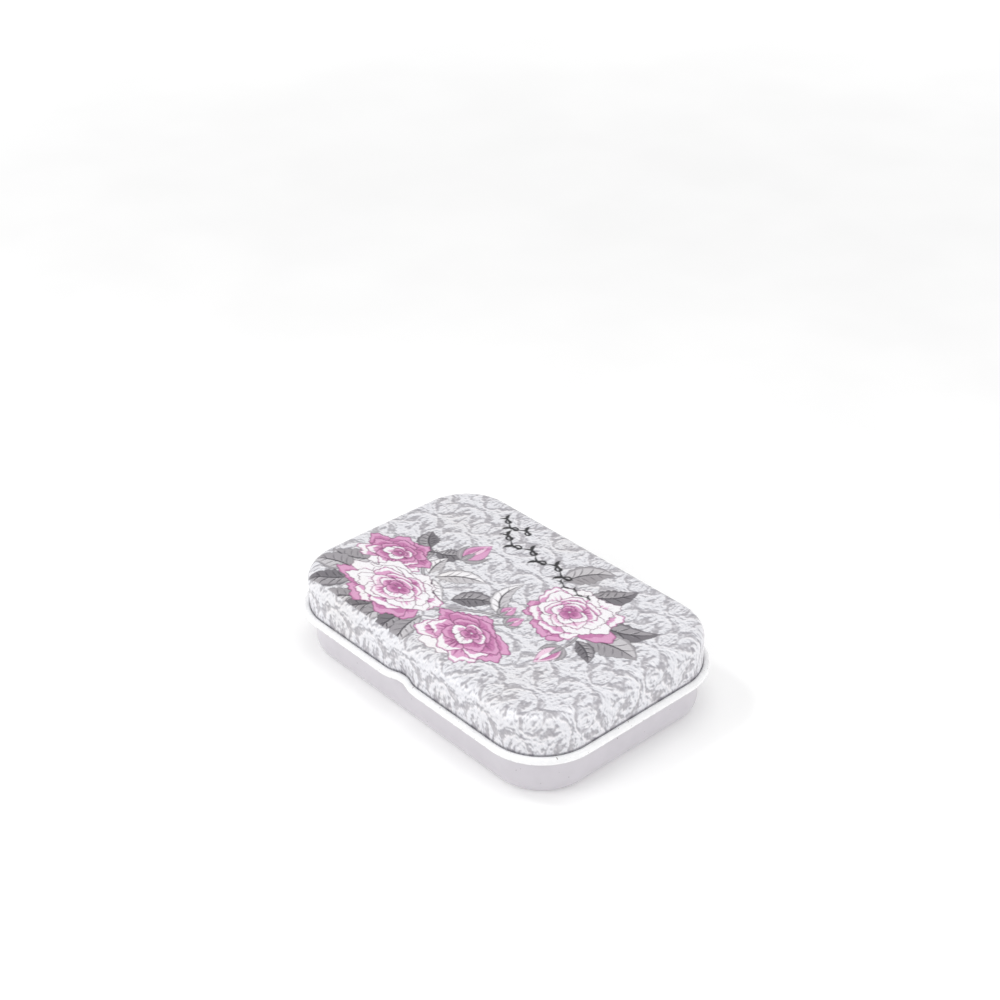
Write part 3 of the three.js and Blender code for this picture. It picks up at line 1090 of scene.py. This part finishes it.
def worn_lacquer(name):
    """White lacquer that has worn off to bright tinplate in patches."""
    material = lacquer(name, srgb(206, 204, 212), srgb(120, 116, 118), 0.36, 0.7)
    nodes, links = material.node_tree.nodes, material.node_tree.links
    shader = nodes["Principled BSDF"]
    worn = ranged(nodes, links, noise(nodes, links, 0.9, 4.0, (0.3, 1, 1)), 0.5, 0.6, 0.0, 1.0)
    links.new(worn, shader.inputs["Metallic"])
    return material


# ---- the tin ----

print_material = printed_tinplate()
bead_material = lacquer("white_lacquer", srgb(253, 253, 254), srgb(150, 140, 138), 0.26, 0.74)
tray_material = lacquer("pearl_lacquer", srgb(211, 207, 213), srgb(140, 132, 136), 0.34, 0.77)
inside_material = lacquer("inside_lacquer", srgb(226, 226, 230), srgb(150, 144, 140), 0.34, 0.78)
lug_material = worn_lacquer("lug_lacquer")

lid_shell = make_lid_shell(print_material, inside_material)
lid_bead = make_lid_bead(bead_material)
tray_shell = make_tray(tray_material, inside_material)
lugs = {name: make_lug(name, lug_material) for name in lug_boxes}

for piece in (lid_shell, lid_bead):
    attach(piece, "lid_body")
    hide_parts("lid")
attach(tray_shell, "tray_body")
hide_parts("base_tray")
for name, lug in lugs.items():
    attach(lug, "tray_body")
    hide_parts(name)


# ---- floor, light and camera ----

def make_floor():
    floor = new_piece("floor", [(-2500, -2500, 0), (2500, -2500, 0), (2500, 2500, 0), (-2500, 2500, 0)],
                      [(0, 1, 2, 3)], [])
    material, nodes, links, shader = node_tree("floor_paper")
    tone = ranged(nodes, links, noise(nodes, links, 0.02), 0.3, 0.7, 0.90, 0.93)
    links.new(tone, shader.inputs["Base Color"])
    shader.inputs["Roughness"].default_value = 0.95
    shader.inputs["Specular IOR Level"].default_value = 0.0
    shader.inputs["Emission Color"].default_value = (1.0, 1.0, 1.0, 1.0)
    # Painted light: the floor glows, faintly near the tin and more strongly further out, so its shading
    # turns white away from the tin.
    place = nodes.new("ShaderNodeTexCoord")
    distance = nodes.new("ShaderNodeVectorMath")
    distance.operation = "LENGTH"
    links.new(place.outputs["Object"], distance.inputs[0])
    glow = ranged(nodes, links, distance.outputs["Value"], 0.12, 0.9, 0.14, 0.7)
    links.new(glow, shader.inputs["Emission Strength"])
    floor.data.materials.append(material)


def area_light(name, place, target, size, power):
    data = bpy.data.lights.new(name, "AREA")
    data.shape = "RECTANGLE"
    data.size, data.size_y = size[0] * MM, size[1] * MM
    data.energy = power
    light = bpy.data.objects.new(name, data)
    direction = Vector(target) - Vector(place)
    light.rotation_euler = direction.to_track_quat("-Z", "Y").to_euler()
    light.location = Vector(place) * MM
    bpy.context.scene.collection.objects.link(light)


def make_world(strength):
    """An even dome of light, which shows as plain white behind the floor."""
    world = bpy.data.worlds.new("studio")
    world.use_nodes = True
    nodes, links = world.node_tree.nodes, world.node_tree.links
    background = nodes["Background"]
    background.inputs["Color"].default_value = (1.0, 1.0, 1.0, 1.0)
    ray = nodes.new("ShaderNodeLightPath")
    seen = ranged(nodes, links, ray.outputs["Is Camera Ray"], 0.0, 1.0, strength, 1.0)
    links.new(seen, background.inputs["Strength"])
    bpy.context.scene.world = world


def make_camera():
    data = bpy.data.cameras.new("camera")
    data.sensor_width = 36.0
    data.lens = 64.8
    data.clip_start, data.clip_end = 0.01, 20.0
    yaw, pitch, roll = math.radians(49.07), math.radians(31.41), math.radians(-1.34)
    forward = Vector((-math.sin(yaw) * math.cos(pitch), math.cos(yaw) * math.cos(pitch), -math.sin(pitch)))
    level = Vector((math.cos(yaw), math.sin(yaw), 0))
    upright = level.cross(forward)
    right = level * math.cos(roll) + upright * math.sin(roll)
    up = upright * math.cos(roll) - level * math.sin(roll)
    camera = bpy.data.objects.new("camera", data)
    turn = Matrix((right, up, -forward)).transposed().to_4x4()
    camera.matrix_world = Matrix.Translation(Vector((267.52, -231.43, 263.75)) * MM) @ turn
    bpy.context.scene.collection.objects.link(camera)
    bpy.context.scene.camera = camera


make_floor()
make_world(0.5)
area_light("key", (-160, -420, 260), (0, 0, 10), (300, 300), 0.75)
area_light("top", (60, 60, 500), (0, 0, 10), (400, 400), 0.85)
area_light("glint", (-170, -165, 455), (32, -16, 20), (60, 60), 0.3)
area_light("side", (420, 60, 160), (0, 0, 10), (260, 260), 0.38)
make_camera()
bpy.context.scene.view_settings.view_transform = "Standard"
